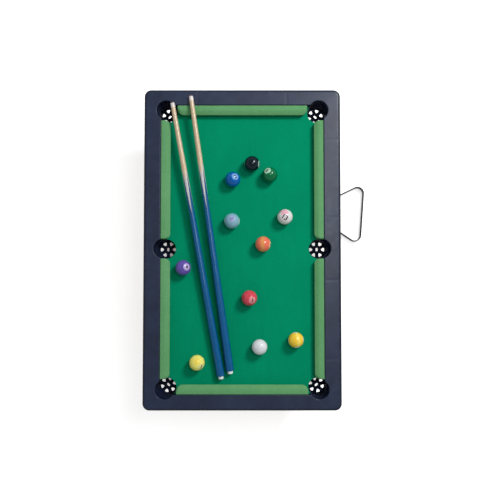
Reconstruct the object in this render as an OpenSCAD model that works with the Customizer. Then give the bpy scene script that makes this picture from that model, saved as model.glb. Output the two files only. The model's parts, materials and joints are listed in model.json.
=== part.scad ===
// Tabletop pool table of the 20 inch class, with two cues, eleven balls and a ball rack.
// The origin is on the floor midway between the four feet. +Y runs along the table, +X across it.
// "Back" is the +Y end and "left" is the -X side.

/* [Table] */
// Length of the frame, outside
table_l = 510; // [500:1:520]
// Width of the frame, outside
table_w = 314; // [310:1:322]
// Height of the rail tops above the floor
table_h = 165; // [140:1:190]
// Depth of the frame's skirt
skirt_d = 40; // [38:1:44]
// Wall thickness of the frame moulding
wall_t = 2.5; // [2:0.1:2.8]
// Corner radius of the frame, seen from above
corner_r = 11; // [9:0.5:13]
// Rounding of the frame's upper outer edge
edge_r = 5; // [3:0.5:6]
// Width of the two long rails, up to the cushions
side_rail_w = 26.8; // [26:0.1:28]
// Width of the two end rails, up to the cushions
end_rail_w = 25; // [24.5:0.1:26]

/* [Bed] */
// Rail top to cloth surface
rail_h = 15; // [14:0.5:16]
// Thickness of the flocked cloth
cloth_t = 0.8; // [0.6:0.1:1.2]
// Thickness of the fibreboard bed
board_t = 4; // [3:0.5:5]

/* [Cushions] */
// Width of a cushion, from rail to nose
cushion_w = 15; // [14:0.5:16]
// Height of a cushion's flat top above the cloth
cushion_h = 13.5; // [12.5:0.5:14]
// Height of the nose above the cloth
nose_h = 9.2; // [8.5:0.1:10]

/* [Pockets] */
// Radius of a pocket's bite out of the frame
pocket_r = 15.2; // [14.8:0.1:15.6]
// Corner pocket centre to the rails' inner faces
corner_inset = 8.2; // [7.8:0.1:8.6]
// Middle pocket centre to the rail's inner face
middle_inset = 4.7; // [4.3:0.1:5.1]
// Inner radius of a basket at its rim
basket_r = 15; // [14.6:0.1:15]
// Inner radius of a basket at its floor
basket_floor_r = 13.6; // [13.3:0.1:14]
// Rail top to the basket floor
basket_d = 40; // [39:0.5:41]
// Wall thickness of a basket
basket_t = 1.5; // [1.2:0.1:1.8]

/* [Legs] */
// Radius of a leg where it stands inside the skirt
leg_r = 11; // [10:0.1:11]
// Radius of a leg just above its foot ring
leg_foot_r = 7.8; // [7.4:0.1:8.4]
// Wall thickness of a leg
leg_t = 2; // [1.8:0.1:2.2]
// Thickness of a rubber foot pad
pad_t = 2.5; // [2:0.5:3]

/* [Balls] */
// Diameter of a ball
ball_d = 24.5; // [24:0.1:25]

/* [Cues] */
// Length of a cue from bumper to tip
cue_l = 447; // [446.5:0.1:447.5]
// Diameter of a cue at the butt
cue_butt_d = 13; // [12:0.1:13.2]
// Diameter of a cue at the ferrule
cue_tip_d = 7; // [6.5:0.1:7.4]

/* [Rack] */
// Side of the rack's triangle between its sharp corners, at mid wall
rack_side = 115; // [112:0.5:117]
// Height of the rack
rack_h = 11; // [9:0.5:13]
// Wall thickness of the rack
rack_t = 1.9; // [1.6:0.1:2.4]

/* [Hidden] */
$fn = 96;
half_l = table_l / 2;
half_w = table_w / 2;
open_x = half_w - side_rail_w;  // inner faces of the long rails
open_y = half_l - end_rail_w;   // inner faces of the end rails
skirt_z = table_h - skirt_d;    // lower edge of the skirt
cloth_z = table_h - rail_h;     // playing surface
board_z = cloth_z - cloth_t;    // upper face of the bed board
under_z = board_z - board_t;    // lower face of the bed board
joint_gap = 0.3;                // free pieces stay this far off what they rest on

// The bed's rim: clear of the skirt, with its corners cut off
bed_x = half_w - 7;
bed_y = half_l - 7;
bed_corner_cut = 22;

// Pocket centres in the back right quarter, and how far each basket sits nearer the middle
corner_x = open_x - corner_inset;
corner_y = open_y - corner_inset;
middle_x = open_x - middle_inset;
corner_shift = 1.5;
middle_shift = 3.4;
// The bed's pocket holes reach this far out under the frame's wall, in X and Y or in X alone
corner_undercut = 1;
middle_undercut = 1.2;
hole_extra = 0.2;               // hole radius over the pocket's
flange_r = 20;
flange_t = 2;
basket_ear_off = 22;            // basket centre to the screw in each ear
basket_ear_r = 4.5;
basket_floor_z = table_h - basket_d;
hub_hole = [3.6, 5.8];          // rounded hole in the middle of a basket's floor
window_in = 7.2;                // basket floor windows, from the basket's axis to their two flat ends
window_out = 12.4;
window_corner_r = 1.5;
spoke_t = 5.4;

// Screws, with plain shanks for threads
bed_screw = [1.45, 3.2, 12];    // shank radius, head radius, length under the head
basket_screw = [1.25, 2.6, 5.5];
cushion_screw = [1.25, 2.6, 11];
leg_screw = [1.45, 3.2, 15];
thread_gap = 0.1;               // pilot hole radius over shank radius
hole_gap = 0.4;                 // clearance hole radius over shank radius
head_h = 1.8;
boss_r = 4;

// Frame screws stand under the ribs of the rails
side_rib_y = [50, 174];
end_rib_x = 71;
rib_t = 1.8;
side_screw_x = open_x + 13.5;
end_screw_y = open_y + 12.5;

// A leg's axis, in X and Y, and its closed top
leg_at = [142.5, 190];
leg_plate_t = 3;
leg_collar = [12.2, 4];         // radius and height of the ring under the skirt
leg_ring = [9, 5];              // radius and height of the ring at the foot
pad_plug = 5;                   // height of the foot pad's plug inside the leg

// Cushion screws, measured along the rails
side_cushion_screw_y = [50, 170];
end_cushion_screw_x = 65;
cushion_screw_in = 5.5;         // screw line to the rail's inner face
cushion_gap = 0.4;

// A cushion's ends, measured along the rails: the end face, and where its round corner meets the nose
side_cushion_near = [15.5, 24];
side_cushion_far = [206, 197];
end_cushion_end = [104.3, 94];

// Where the balls lie on the cloth
cue_ball_at = [27.5, -155.3];
yellow_1_at = [-71.1, -179.9];
blue_2_at = [-15.1, 110.5];
red_3_at = [11.4, -78.2];
purple_4_at = [-93.5, -30.3];
orange_5_at = [33.2, 7.3];
green_6_at = [44.1, 117.7];
black_8_at = [15.7, 135.7];
stripe_yellow_at = [84.8, -144.3];
stripe_pale_at = [-16.3, 44.1];
stripe_white_at = [68, 50.6];

// Each cue leans from the cloth over the back rail: butt end, tip end and the rail edge under it
cue_left_butt = [-33, -206.5];
cue_left_yaw = 100.12;          // degrees from +X
cue_left_edge_y = 232.4;
cue_right_butt = [-18.5, -198.2];
cue_right_yaw = 98.18;
cue_right_edge_y = open_y;
bumper_d = 8.6;
bumper_l = 5;
ferrule_l = 7;
leather_l = 2;
leather_d = 6.6;

// The rack lies on the floor, pushed partly under the right side
rack_at = [184.7, 72];
rack_turn = 175.8;              // direction of its hidden corner, degrees from +X
rack_corner_r = 11;

// ---- Shared shapes ----

// A rectangle centred on the origin with true round corners
module rounded_rect(hx, hy, r) {
    square([2 * hx, 2 * (hy - r)], center = true);
    square([2 * (hx - r), 2 * hy], center = true);
    for (sx = [-1, 1], sy = [-1, 1])
        translate([sx * (hx - r), sy * (hy - r)]) circle(r);
}

// Copies the children to all four quarters, each time mirrored so that +X +Y stays outward
module quarters() {
    for (sx = [0, 1], sy = [0, 1]) mirror([sx, 0]) mirror([0, sy]) children();
}

module both_sides() {
    for (s = [0, 1]) mirror([s, 0]) children();
}

// The points of the frame and bed screws, in all quarters
module at_bed_screws() {
    quarters() {
        for (y = side_rib_y) translate([side_screw_x, y]) children();
        translate([end_rib_x, end_screw_y]) children();
    }
}

module at_cushion_screws() {
    quarters() {
        for (y = side_cushion_screw_y) translate([open_x - cushion_screw_in, y]) children();
        translate([end_cushion_screw_x, open_y - cushion_screw_in]) children();
    }
}

module at_leg_screws() {
    quarters() translate(leg_at) children();
}

// Moves to one basket's centre and turns +X to point away from the table's middle
function corner_basket_at() = [corner_x - corner_shift, corner_y - corner_shift];
function middle_basket_at() = [middle_x - middle_shift, 0];

// Screw ears of a corner basket point along the two rails, those of a middle one along its rail
module at_corner_ears() {
    for (v = [[-1, 0], [0, -1]]) translate(corner_basket_at() + basket_ear_off * v) children();
}

module at_middle_ears() {
    for (s = [-1, 1]) translate(middle_basket_at() + [0, s * basket_ear_off]) children();
}

module at_basket_screws() {
    quarters() at_corner_ears() children();
    both_sides() at_middle_ears() children();
}

// Pan head screw, head down, with the head's upper face at z = 0
module screw(size) {
    translate([0, 0, -0.01]) cylinder(h = size[2] + 0.01, r = size[0]);
    difference() {
        translate([0, 0, -head_h]) cylinder(h = head_h, r1 = size[1] * 0.8, r2 = size[1]);
        for (a = [0, 90]) rotate(a)
            translate([-size[1] * 0.55, -0.35, -head_h - 0.1]) cube([size[1] * 1.1, 0.7, 0.9]);
    }
}

// The opening between the rails: the playing field and the six pocket bites, grown by g
module field_opening(g) {
    square([2 * (open_x + g), 2 * (open_y + g)], center = true);
    quarters() translate([corner_x, corner_y]) circle(pocket_r + g);
    both_sides() translate([middle_x, 0]) circle(pocket_r + g);
}

// The pocket holes through the cloth and the board, hidden under the frame's wall on their outer side
module bed_holes() {
    quarters() {
        translate([corner_x + corner_undercut, corner_y + corner_undercut]) circle(pocket_r + hole_extra);
        translate(corner_basket_at()) circle(pocket_r + hole_extra);
    }
    both_sides() {
        translate([middle_x + middle_undercut, 0]) circle(pocket_r + hole_extra);
        translate(middle_basket_at()) circle(pocket_r + hole_extra);
    }
}

module bed_outline(g) {
    difference() {
        square([2 * (bed_x - g), 2 * (bed_y - g)], center = true);
        quarters() translate([bed_x, bed_y]) rotate(45)
            square([2 * (bed_corner_cut + g) * sin(45), 4 * bed_corner_cut], center = true);
        bed_holes();
    }
}

// ---- Frame and bed ----

// Solid block of the frame with its upper outer edge rounded by a quarter circle
module frame_block() {
    translate([0, 0, skirt_z]) linear_extrude(skirt_d - edge_r) rounded_rect(half_w, half_l, corner_r);
    round_z = table_h - edge_r;
    translate([0, 0, round_z - 0.5]) linear_extrude(edge_r + 0.5)
        rounded_rect(half_w - edge_r, half_l - edge_r, corner_r - edge_r);
    for (s = [-1, 1]) {
        translate([s * (half_w - edge_r), half_l - corner_r, round_z]) rotate([90, 0, 0])
            cylinder(h = table_l - 2 * corner_r, r = edge_r);
        translate([corner_r - half_w, s * (half_l - edge_r), round_z]) rotate([0, 90, 0])
            cylinder(h = table_w - 2 * corner_r, r = edge_r);
    }
    for (sx = [-1, 1], sy = [-1, 1])
        translate([sx * (half_w - corner_r), sy * (half_l - corner_r), round_z])
            rotate_extrude() translate([corner_r - edge_r, 0]) difference() {
                circle(edge_r);
                translate([-2 * edge_r, -edge_r]) square([2 * edge_r, 2 * edge_r]);
            }
}

module top_frame() color([0.17, 0.19, 0.24]) {
    top_z = table_h - wall_t;
    difference() {
        frame_block();
        translate([0, 0, skirt_z - 1]) linear_extrude(skirt_d + 2) field_opening(0);
        // hollow under the rails, outside the inner wall
        translate([0, 0, skirt_z - 1]) linear_extrude(top_z - skirt_z + 1) difference() {
            rounded_rect(half_w - wall_t, half_l - wall_t, corner_r - wall_t);
            field_opening(wall_t);
        }
        // the inner wall ends on the cloth
        translate([0, 0, skirt_z - 1]) linear_extrude(cloth_z - skirt_z + 1)
            rounded_rect(half_w - wall_t, half_l - wall_t, corner_r - wall_t);
    }
    rib_h = top_z - cloth_z + 0.2;
    difference() {
        union() {
            translate([0, 0, cloth_z]) linear_extrude(rib_h) {
                at_bed_screws() circle(boss_r);
                at_leg_screws() circle(boss_r);
            }
            translate([0, 0, cloth_z]) linear_extrude(rib_h) quarters() {
                for (y = side_rib_y) translate([open_x + wall_t / 2, y - rib_t / 2])
                    square([half_w - open_x - wall_t, rib_t]);
                translate([end_rib_x - rib_t / 2, open_y + wall_t / 2])
                    square([rib_t, half_l - open_y - wall_t]);
            }
        }
        translate([0, 0, cloth_z - 1]) linear_extrude(10) {
            at_bed_screws() circle(bed_screw[0] + thread_gap);
            at_leg_screws() circle(leg_screw[0] + thread_gap);
        }
    }
}

module bed_board() color([0.62, 0.48, 0.32])
    translate([0, 0, under_z]) linear_extrude(board_t) difference() {
        bed_outline(0);
        at_bed_screws() circle(bed_screw[0] + hole_gap);
        at_leg_screws() circle(leg_screw[0] + hole_gap);
        at_cushion_screws() circle(cushion_screw[0] + hole_gap);
        at_basket_screws() circle(basket_screw[0] + thread_gap);
    }

module bed_cloth() color([0.01, 0.45, 0.33])
    translate([0, 0, board_z]) linear_extrude(cloth_t) difference() {
        bed_outline(0.5);
        at_bed_screws() circle(bed_screw[0] + hole_gap);
        at_leg_screws() circle(leg_screw[0] + hole_gap);
        at_cushion_screws() circle(cushion_screw[0] + hole_gap);
    }

// ---- Cushions ----

// Points of an arc that rounds the corner at p between the directions to a and b
function unit(v) = v / norm(v);
function rounded_corner(p, a, b, r, steps = 10) =
    let (u = unit(a - p), v = unit(b - p),
         half = acos(u * v) / 2,
         c = p + unit(u + v) * r / sin(half),
         t1 = p + u * r / tan(half) - c,
         t2 = p + v * r / tan(half) - c,
         a1 = atan2(t1[1], t1[0]),
         turn = atan2(t1[0] * t2[1] - t1[1] * t2[0], t1 * t2))
    [for (i = [0 : steps]) c + r * [cos(a1 + turn * i / steps), sin(a1 + turn * i / steps)]];

// A cushion along +X from end_a to end_b, its rail face on y = 0 and its nose towards -Y.
// Each end is a pair: its end face, and where the round corner meets the nose.
module cushion(end_a, end_b, screws) {
    rail_a = [end_a[0], 0];
    rail_b = [end_b[0], 0];
    corner_a = [end_a[0], -cushion_w];
    corner_b = [end_b[0], -cushion_w];
    lip = 0.8;
    section = concat(
        [[0, 0], [0, cushion_h - 0.6], [-0.6, cushion_h]],
        [[-cushion_w * 0.56, cushion_h]],
        rounded_corner([-cushion_w, nose_h + 0.7], [-cushion_w * 0.56, cushion_h], [-cushion_w, nose_h - 3], lip, 4),
        rounded_corner([-cushion_w, nose_h - 0.9], [-cushion_w, nose_h + 3], [-cushion_w + 4, 0], lip, 4),
        [[-cushion_w + 4, 0]]);
    color([0.38, 0.6, 0.42]) translate([0, 0, cloth_z]) difference() {
        intersection() {
            linear_extrude(cushion_h + 1) polygon(concat([rail_a],
                rounded_corner(corner_a, rail_a, corner_b, end_a[1] - end_a[0]),
                rounded_corner(corner_b, corner_a, rail_b, end_b[0] - end_b[1]), [rail_b]));
            translate([end_a[0] - 1, 0, 0]) rotate([90, 0, 90])
                linear_extrude(end_b[0] - end_a[0] + 2) polygon(section);
        }
        for (x = screws) translate([x, cushion_gap - cushion_screw_in, -1])
            cylinder(h = 8, r = cushion_screw[0] + thread_gap);
    }
}

module end_cushion(side)
    mirror([0, side < 0 ? 1 : 0]) translate([0, open_y - cushion_gap, 0])
        cushion([-end_cushion_end[0], -end_cushion_end[1]], end_cushion_end,
                [-end_cushion_screw_x, end_cushion_screw_x]);

// A side cushion runs along a long rail from the middle pocket to a corner pocket
module side_cushion(sx, sy)
    mirror([sx < 0 ? 1 : 0, 0]) mirror([0, sy < 0 ? 1 : 0])
        translate([open_x - cushion_gap, 0, 0]) mirror([1, -1, 0])
            cushion(side_cushion_near, side_cushion_far, side_cushion_screw_y);

module cushion_back() end_cushion(1);
module cushion_front() end_cushion(-1);
module cushion_left_back() side_cushion(-1, 1);
module cushion_left_front() side_cushion(-1, -1);
module cushion_right_back() side_cushion(1, 1);
module cushion_right_front() side_cushion(1, -1);

// ---- Pocket baskets ----

// A window on the +X side with round corners, its flanks parallel to the two spokes beside it
module basket_window() {
    flank = spoke_t / 2 / cos(30);
    y_in = window_in * tan(30) - flank;
    y_out = window_out * tan(30) - flank;
    corners = [[window_in, -y_in], [window_out, -y_out], [window_out, y_out], [window_in, y_in]];
    polygon([for (i = [0 : 3]) each
        rounded_corner(corners[i], corners[(i + 3) % 4], corners[(i + 1) % 4], window_corner_r, 5)]);
}

// A cup with a pierced floor, centred on the origin, its +X side away from the middle of the table
module basket(ears, first_window) {
    wall_h = under_z - basket_floor_z;
    color([0.07, 0.09, 0.14]) difference() {
        union() {
            translate([0, 0, basket_floor_z - 2])
                cylinder(h = wall_h + 2, r1 = basket_floor_r + basket_t, r2 = basket_r + basket_t);
            translate([0, 0, under_z - flange_t]) linear_extrude(flange_t) {
                circle(flange_r);
                for (a = ears) rotate(a) {
                    translate([basket_ear_off, 0]) circle(basket_ear_r);
                    translate([0, -basket_ear_r]) square([basket_ear_off, 2 * basket_ear_r]);
                }
            }
        }
        translate([0, 0, basket_floor_z]) cylinder(h = wall_h, r1 = basket_floor_r, r2 = basket_r);
        translate([0, 0, under_z - 0.01]) cylinder(h = 1, r = basket_r);
        translate([0, 0, basket_floor_z - 3]) linear_extrude(4) {
            for (i = [0 : 5]) rotate(first_window + 60 * i) basket_window();
            square([hub_hole[0], hub_hole[1] - hub_hole[0]], center = true);
            for (s = [-1, 1]) translate([0, s * (hub_hole[1] - hub_hole[0]) / 2]) circle(hub_hole[0] / 2);
        }
        for (a = ears) rotate(a) translate([basket_ear_off, 0, under_z - flange_t - 1])
            cylinder(h = flange_t + 2, r = basket_screw[0] + hole_gap);
    }
}

// In a corner basket +X is turned to the table's diagonal, and a spoke points along it
module corner_basket(sx, sy)
    mirror([sx < 0 ? 1 : 0, 0]) mirror([0, sy < 0 ? 1 : 0])
        translate(corner_basket_at()) rotate(45) basket([135, 225], 30);

module middle_basket(sx)
    mirror([sx < 0 ? 1 : 0, 0]) translate(middle_basket_at()) basket([90, 270], 0);

module pocket_basket_left_back() corner_basket(-1, 1);
module pocket_basket_left_middle() middle_basket(-1);
module pocket_basket_left_front() corner_basket(-1, -1);
module pocket_basket_right_back() corner_basket(1, 1);
module pocket_basket_right_middle() middle_basket(1);
module pocket_basket_right_front() corner_basket(1, -1);

// ---- Legs ----

// A hollow turned leg, closed at the top where its screw passes into the frame's boss
module leg(sx, sy) {
    collar_z = skirt_z - 1;
    ring_z = pad_t + leg_ring[1];
    color([0.13, 0.14, 0.18]) translate([sx * leg_at[0], sy * leg_at[1], 0]) difference() {
        union() {
            translate([0, 0, collar_z - 1]) cylinder(h = under_z - collar_z + 1, r = leg_r);
            translate([0, 0, collar_z - leg_collar[1]]) cylinder(h = leg_collar[1], r = leg_collar[0]);
            translate([0, 0, ring_z - 1])
                cylinder(h = collar_z - leg_collar[1] - ring_z + 2, r1 = leg_foot_r, r2 = leg_r - 0.6);
            translate([0, 0, pad_t]) cylinder(h = leg_ring[1], r = leg_ring[0]);
        }
        translate([0, 0, pad_t - 1])
            cylinder(h = under_z - leg_plate_t - pad_t + 1, r1 = leg_foot_r - leg_t, r2 = leg_r - leg_t);
        translate([0, 0, under_z - leg_plate_t - 1]) cylinder(h = leg_plate_t + 2, r = leg_screw[0] + hole_gap);
    }
}

module foot_pad(sx, sy)
    color([0.1, 0.1, 0.11]) translate([sx * leg_at[0], sy * leg_at[1], 0]) {
        cylinder(h = pad_t, r = leg_ring[0] - 0.5);
        cylinder(h = pad_t + pad_plug, r = leg_foot_r - leg_t - 0.2);
    }

module leg_left_back() leg(-1, 1);
module leg_left_front() leg(-1, -1);
module leg_right_back() leg(1, 1);
module leg_right_front() leg(1, -1);
module foot_pad_left_back() foot_pad(-1, 1);
module foot_pad_left_front() foot_pad(-1, -1);
module foot_pad_right_back() foot_pad(1, 1);
module foot_pad_right_front() foot_pad(1, -1);

// ---- Fasteners ----

module bed_screws() color("silver") translate([0, 0, under_z]) at_bed_screws() screw(bed_screw);

module cushion_screws() color("silver") translate([0, 0, under_z]) at_cushion_screws() screw(cushion_screw);

module basket_screws()
    color("silver") translate([0, 0, under_z - flange_t]) at_basket_screws() screw(basket_screw);

module leg_screws()
    color("silver") translate([0, 0, under_z - leg_plate_t]) at_leg_screws() screw(leg_screw);

// ---- Cues ----

// Lays a cue drawn along +Z so that its butt rests on the cloth and its shaft on the back rail.
// The pitch comes from the cue's radius over the rail edge and the height between the two rests.
module lay_cue(butt, yaw, edge_y) {
    butt_r = cue_butt_d / 2;
    reach = (edge_y - butt[1]) / sin(yaw);
    edge_radius = butt_r + (cue_tip_d / 2 - butt_r) * min(1, reach / (cue_l - ferrule_l - leather_l));
    pitch = asin((rail_h + edge_radius - butt_r + 0.1) / reach);
    translate([butt[0], butt[1], cloth_z + joint_gap + butt_r]) rotate([0, 90 - pitch, yaw]) children();
}

module lay_left() lay_cue(cue_left_butt, cue_left_yaw, cue_left_edge_y) children();
module lay_right() lay_cue(cue_right_butt, cue_right_yaw, cue_right_edge_y) children();

shaft_l = cue_l - bumper_l - ferrule_l - leather_l;

module cue_shaft() color([0.1, 0.33, 0.6])
    translate([0, 0, bumper_l]) cylinder(h = shaft_l, d1 = cue_butt_d, d2 = cue_tip_d);

module cue_ferrule() color([0.93, 0.92, 0.9])
    translate([0, 0, bumper_l + shaft_l]) cylinder(h = ferrule_l, d1 = cue_tip_d, d2 = cue_tip_d - 0.2);

// Leather tip with a domed end
module cue_tip() color([0.45, 0.3, 0.22]) translate([0, 0, cue_l - leather_l]) intersection() {
    cylinder(h = leather_l, d = leather_d);
    translate([0, 0, leather_l - 6]) sphere(r = 6);
}

module cue_bumper() color([0.95, 0.95, 0.94]) {
    translate([0, 0, 1]) cylinder(h = bumper_l - 1, d = bumper_d);
    cylinder(h = 1, d1 = bumper_d - 2, d2 = bumper_d);
}

module cue_left_shaft() lay_left() cue_shaft();
module cue_left_ferrule() lay_left() cue_ferrule();
module cue_left_tip() lay_left() cue_tip();
module cue_left_bumper() lay_left() cue_bumper();
module cue_right_shaft() lay_right() cue_shaft();
module cue_right_ferrule() lay_right() cue_ferrule();
module cue_right_tip() lay_right() cue_tip();
module cue_right_bumper() lay_right() cue_bumper();

// ---- Balls ----

module ball(at, tint)
    color(tint) translate([at[0], at[1], cloth_z + joint_gap + ball_d / 2]) sphere(d = ball_d);

module ball_cue() ball(cue_ball_at, [0.95, 0.95, 0.93]);
module ball_1_yellow() ball(yellow_1_at, [0.95, 0.8, 0.1]);
module ball_2_blue() ball(blue_2_at, [0.05, 0.35, 0.7]);
module ball_3_red() ball(red_3_at, [0.75, 0.1, 0.15]);
module ball_4_purple() ball(purple_4_at, [0.35, 0.2, 0.6]);
module ball_5_orange() ball(orange_5_at, [0.9, 0.45, 0.15]);
module ball_6_green() ball(green_6_at, [0.15, 0.5, 0.2]);
module ball_8_black() ball(black_8_at, [0.03, 0.03, 0.04]);
module ball_stripe_yellow() ball(stripe_yellow_at, [0.95, 0.85, 0.2]);
module ball_stripe_pale() ball(stripe_pale_at, [0.6, 0.75, 0.8]);
module ball_stripe_white() ball(stripe_white_at, [0.9, 0.88, 0.87]);

// ---- Rack ----

// Equilateral outline with round corners, drawn at offset g from the wall's middle line,
// with one corner on +X
module rack_outline(g) {
    r = rack_corner_r + g;
    centre = rack_side / sqrt(3) - 2 * rack_corner_r;
    inner = centre / 2 + r;
    for (a = [0, 120, 240]) {
        rotate(a) translate([centre, 0]) circle(r);
        rotate(a + 60) translate([0, -centre * sin(60)]) square([inner, 2 * centre * sin(60)]);
    }
    circle(centre / 2, $fn = 3);
}

module ball_rack() color([0.12, 0.12, 0.13])
    translate([rack_at[0], rack_at[1], 0]) rotate(rack_turn) linear_extrude(rack_h) difference() {
        rack_outline(rack_t / 2);
        rack_outline(-rack_t / 2);
    }

top_frame();
bed_board();
bed_cloth();
cushion_back();
cushion_front();
cushion_left_back();
cushion_left_front();
cushion_right_back();
cushion_right_front();
pocket_basket_left_back();
pocket_basket_left_middle();
pocket_basket_left_front();
pocket_basket_right_back();
pocket_basket_right_middle();
pocket_basket_right_front();
leg_left_back();
leg_left_front();
leg_right_back();
leg_right_front();
foot_pad_left_back();
foot_pad_left_front();
foot_pad_right_back();
foot_pad_right_front();
bed_screws();
basket_screws();
cushion_screws();
leg_screws();
cue_left_shaft();
cue_left_ferrule();
cue_left_tip();
cue_left_bumper();
cue_right_shaft();
cue_right_ferrule();
cue_right_tip();
cue_right_bumper();
ball_cue();
ball_1_yellow();
ball_2_blue();
ball_3_red();
ball_4_purple();
ball_5_orange();
ball_6_green();
ball_8_black();
ball_stripe_yellow();
ball_stripe_pale();
ball_stripe_white();
ball_rack();
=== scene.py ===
import json
import math

import bmesh
import bpy
import numpy as np
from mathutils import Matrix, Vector, geometry


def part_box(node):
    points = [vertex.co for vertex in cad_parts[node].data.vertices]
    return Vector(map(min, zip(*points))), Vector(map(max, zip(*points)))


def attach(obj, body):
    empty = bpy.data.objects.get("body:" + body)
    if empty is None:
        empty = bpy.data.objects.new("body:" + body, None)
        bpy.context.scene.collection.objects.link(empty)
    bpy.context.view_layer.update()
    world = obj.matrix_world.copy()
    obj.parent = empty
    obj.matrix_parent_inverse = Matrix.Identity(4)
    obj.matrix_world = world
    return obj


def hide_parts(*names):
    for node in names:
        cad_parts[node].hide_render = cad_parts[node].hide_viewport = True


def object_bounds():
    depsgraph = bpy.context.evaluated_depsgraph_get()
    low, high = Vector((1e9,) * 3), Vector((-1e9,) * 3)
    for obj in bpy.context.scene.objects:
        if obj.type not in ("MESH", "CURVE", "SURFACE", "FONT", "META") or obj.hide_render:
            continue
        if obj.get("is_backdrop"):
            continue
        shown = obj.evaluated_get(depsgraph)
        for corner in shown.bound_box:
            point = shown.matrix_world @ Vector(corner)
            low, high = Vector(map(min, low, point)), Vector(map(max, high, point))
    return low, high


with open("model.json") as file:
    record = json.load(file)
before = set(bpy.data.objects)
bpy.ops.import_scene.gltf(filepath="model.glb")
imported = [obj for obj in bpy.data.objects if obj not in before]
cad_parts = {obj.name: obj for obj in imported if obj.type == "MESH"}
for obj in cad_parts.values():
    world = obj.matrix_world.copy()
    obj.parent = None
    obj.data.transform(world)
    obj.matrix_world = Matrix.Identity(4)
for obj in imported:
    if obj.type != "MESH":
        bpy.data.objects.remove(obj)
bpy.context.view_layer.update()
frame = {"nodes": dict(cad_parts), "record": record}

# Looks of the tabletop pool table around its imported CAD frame. Shapes are drawn in millimetres,
# in the frame's own axes, and put into the meshes in metres.
MM = 0.001
UP = Vector((0, 0, 1))


def box_mm(node):
    return [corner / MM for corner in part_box(node)]


# ---- sizes from the CAD frame
frame_low, frame_high = box_mm("top_frame")
half_w, half_l = frame_high.x, frame_high.y
skirt_z, rail_z = frame_low.z, frame_high.z
cloth_low, cloth_half = box_mm("bed_cloth")
board_z, cloth_z = cloth_low.z, cloth_half.z
cushion_gap = 0.4
open_x = box_mm("cushion_right_back")[1].x + cushion_gap
open_y = box_mm("cushion_back")[1].y + cushion_gap

# ---- shapes of the CAD parts
wall = 2.5
corner_r = 11.0
edge_r = 5.0
lip_r = 1.0
horn_r = 1.0
pocket_r = 15.2
corner_inset, middle_inset = 8.2, 4.7
corner_shift, middle_shift = 1.5, 3.4
corner_undercut, middle_undercut, hole_extra = 1.0, 1.2, 0.2
corner_at = Vector((open_x - corner_inset, open_y - corner_inset))
middle_at = Vector((open_x - middle_inset, 0.0))
cloth_corner_cut = 22.5
side_ribs, end_rib = (50.0, 174.0), 71.0
rib_t, boss_r, pilot_r = 1.8, 4.0, 1.55
side_screw_x, end_screw_y = open_x + 13.5, open_y + 12.5
leg_at = [sum(ends) / 2 for ends in zip(*box_mm("leg_right_back"))]
cushion_w = 15.0
# How far the rails' outer edges lie below their inner ones
rail_fall = 0.7
QUARTERS = [(sx, sy) for sx in (-1, 1) for sy in (-1, 1)]


# ==== materials
def rgb(r, g, b):
    """A colour given as display values from 0 to 255, in linear light."""
    def linear(v):
        v /= 255
        return v / 12.92 if v <= 0.04045 else ((v + 0.055) / 1.055) ** 2.4
    return (linear(r), linear(g), linear(b), 1.0)


class Look:
    """A material with short names for the nodes that it is built from."""

    def __init__(self, name, **constants):
        self.material = bpy.data.materials.new(name)
        self.material.use_nodes = True
        self.tree = self.material.node_tree
        self.shader = self.tree.nodes["Principled BSDF"]
        self.at = self.add("TexCoord").outputs["Object"]
        self.set(**constants)

    def feed(self, socket, value):
        if isinstance(value, bpy.types.NodeSocket):
            self.tree.links.new(value, socket)
        else:
            socket.default_value = value

    def add(self, kind, values=None, **settings):
        node = self.tree.nodes.new("ShaderNode" + kind)
        for key, value in settings.items():
            setattr(node, key, value)
        for key, value in (values or {}).items():
            self.feed(node.inputs[key], value)
        return node

    def set(self, **sockets):
        for key, value in sockets.items():
            self.feed(self.shader.inputs[key.replace("_", " ")], value)

    def math(self, operation, a, b=0.0):
        return self.add("Math", {0: a, 1: b}, operation=operation).outputs[0]

    def vector(self, operation, a, b=(0, 0, 0)):
        node = self.add("VectorMath", {0: a, 1: b}, operation=operation)
        return node.outputs["Value" if operation == "DOT_PRODUCT" else "Vector"]

    def parts(self, vector):
        return self.add("SeparateXYZ", {0: vector}).outputs

    def noise(self, size_mm, detail=3.0, rough=0.5, at=None):
        """Noise from 0 to 1 with features of about this size."""
        values = {"Vector": at or self.at, "Scale": 1 / (size_mm * MM), "Detail": detail, "Roughness": rough}
        return self.add("TexNoise", values).outputs[0]

    def ramp(self, value, *stops):
        node = self.add("ValToRGB", {0: value})
        points = node.color_ramp.elements
        while len(points) < len(stops):
            points.new(0.5)
        for point, (place, colour) in zip(points, stops):
            point.position, point.color = place, colour
        return node.outputs[0]

    def mix(self, share, a, b):
        node = self.add("Mix", data_type="RGBA")
        self.feed(node.inputs["Factor"], share)
        self.feed([s for s in node.inputs if s.name == "A"][2], a)
        self.feed([s for s in node.inputs if s.name == "B"][2], b)
        return [s for s in node.outputs if s.name == "Result"][2]

    def span(self, value, from_low, from_high, low, high, smooth=False):
        values = {0: value, 1: from_low, 2: from_high, 3: low, 4: high}
        kind = "SMOOTHSTEP" if smooth else "LINEAR"
        return self.add("MapRange", values, interpolation_type=kind, clamp=True).outputs[0]

    def bump(self, height_mm):
        values = {"Height": self.math("MULTIPLY", height_mm, MM), "Distance": 1.0, "Strength": 1.0}
        return self.add("Bump", values).outputs[0]

    def sum(self, *terms):
        total = terms[0]
        for term in terms[1:]:
            total = self.math("ADD", total, term)
        return total

    def scaled(self, value, factor):
        return self.math("MULTIPLY", value, factor)


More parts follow.
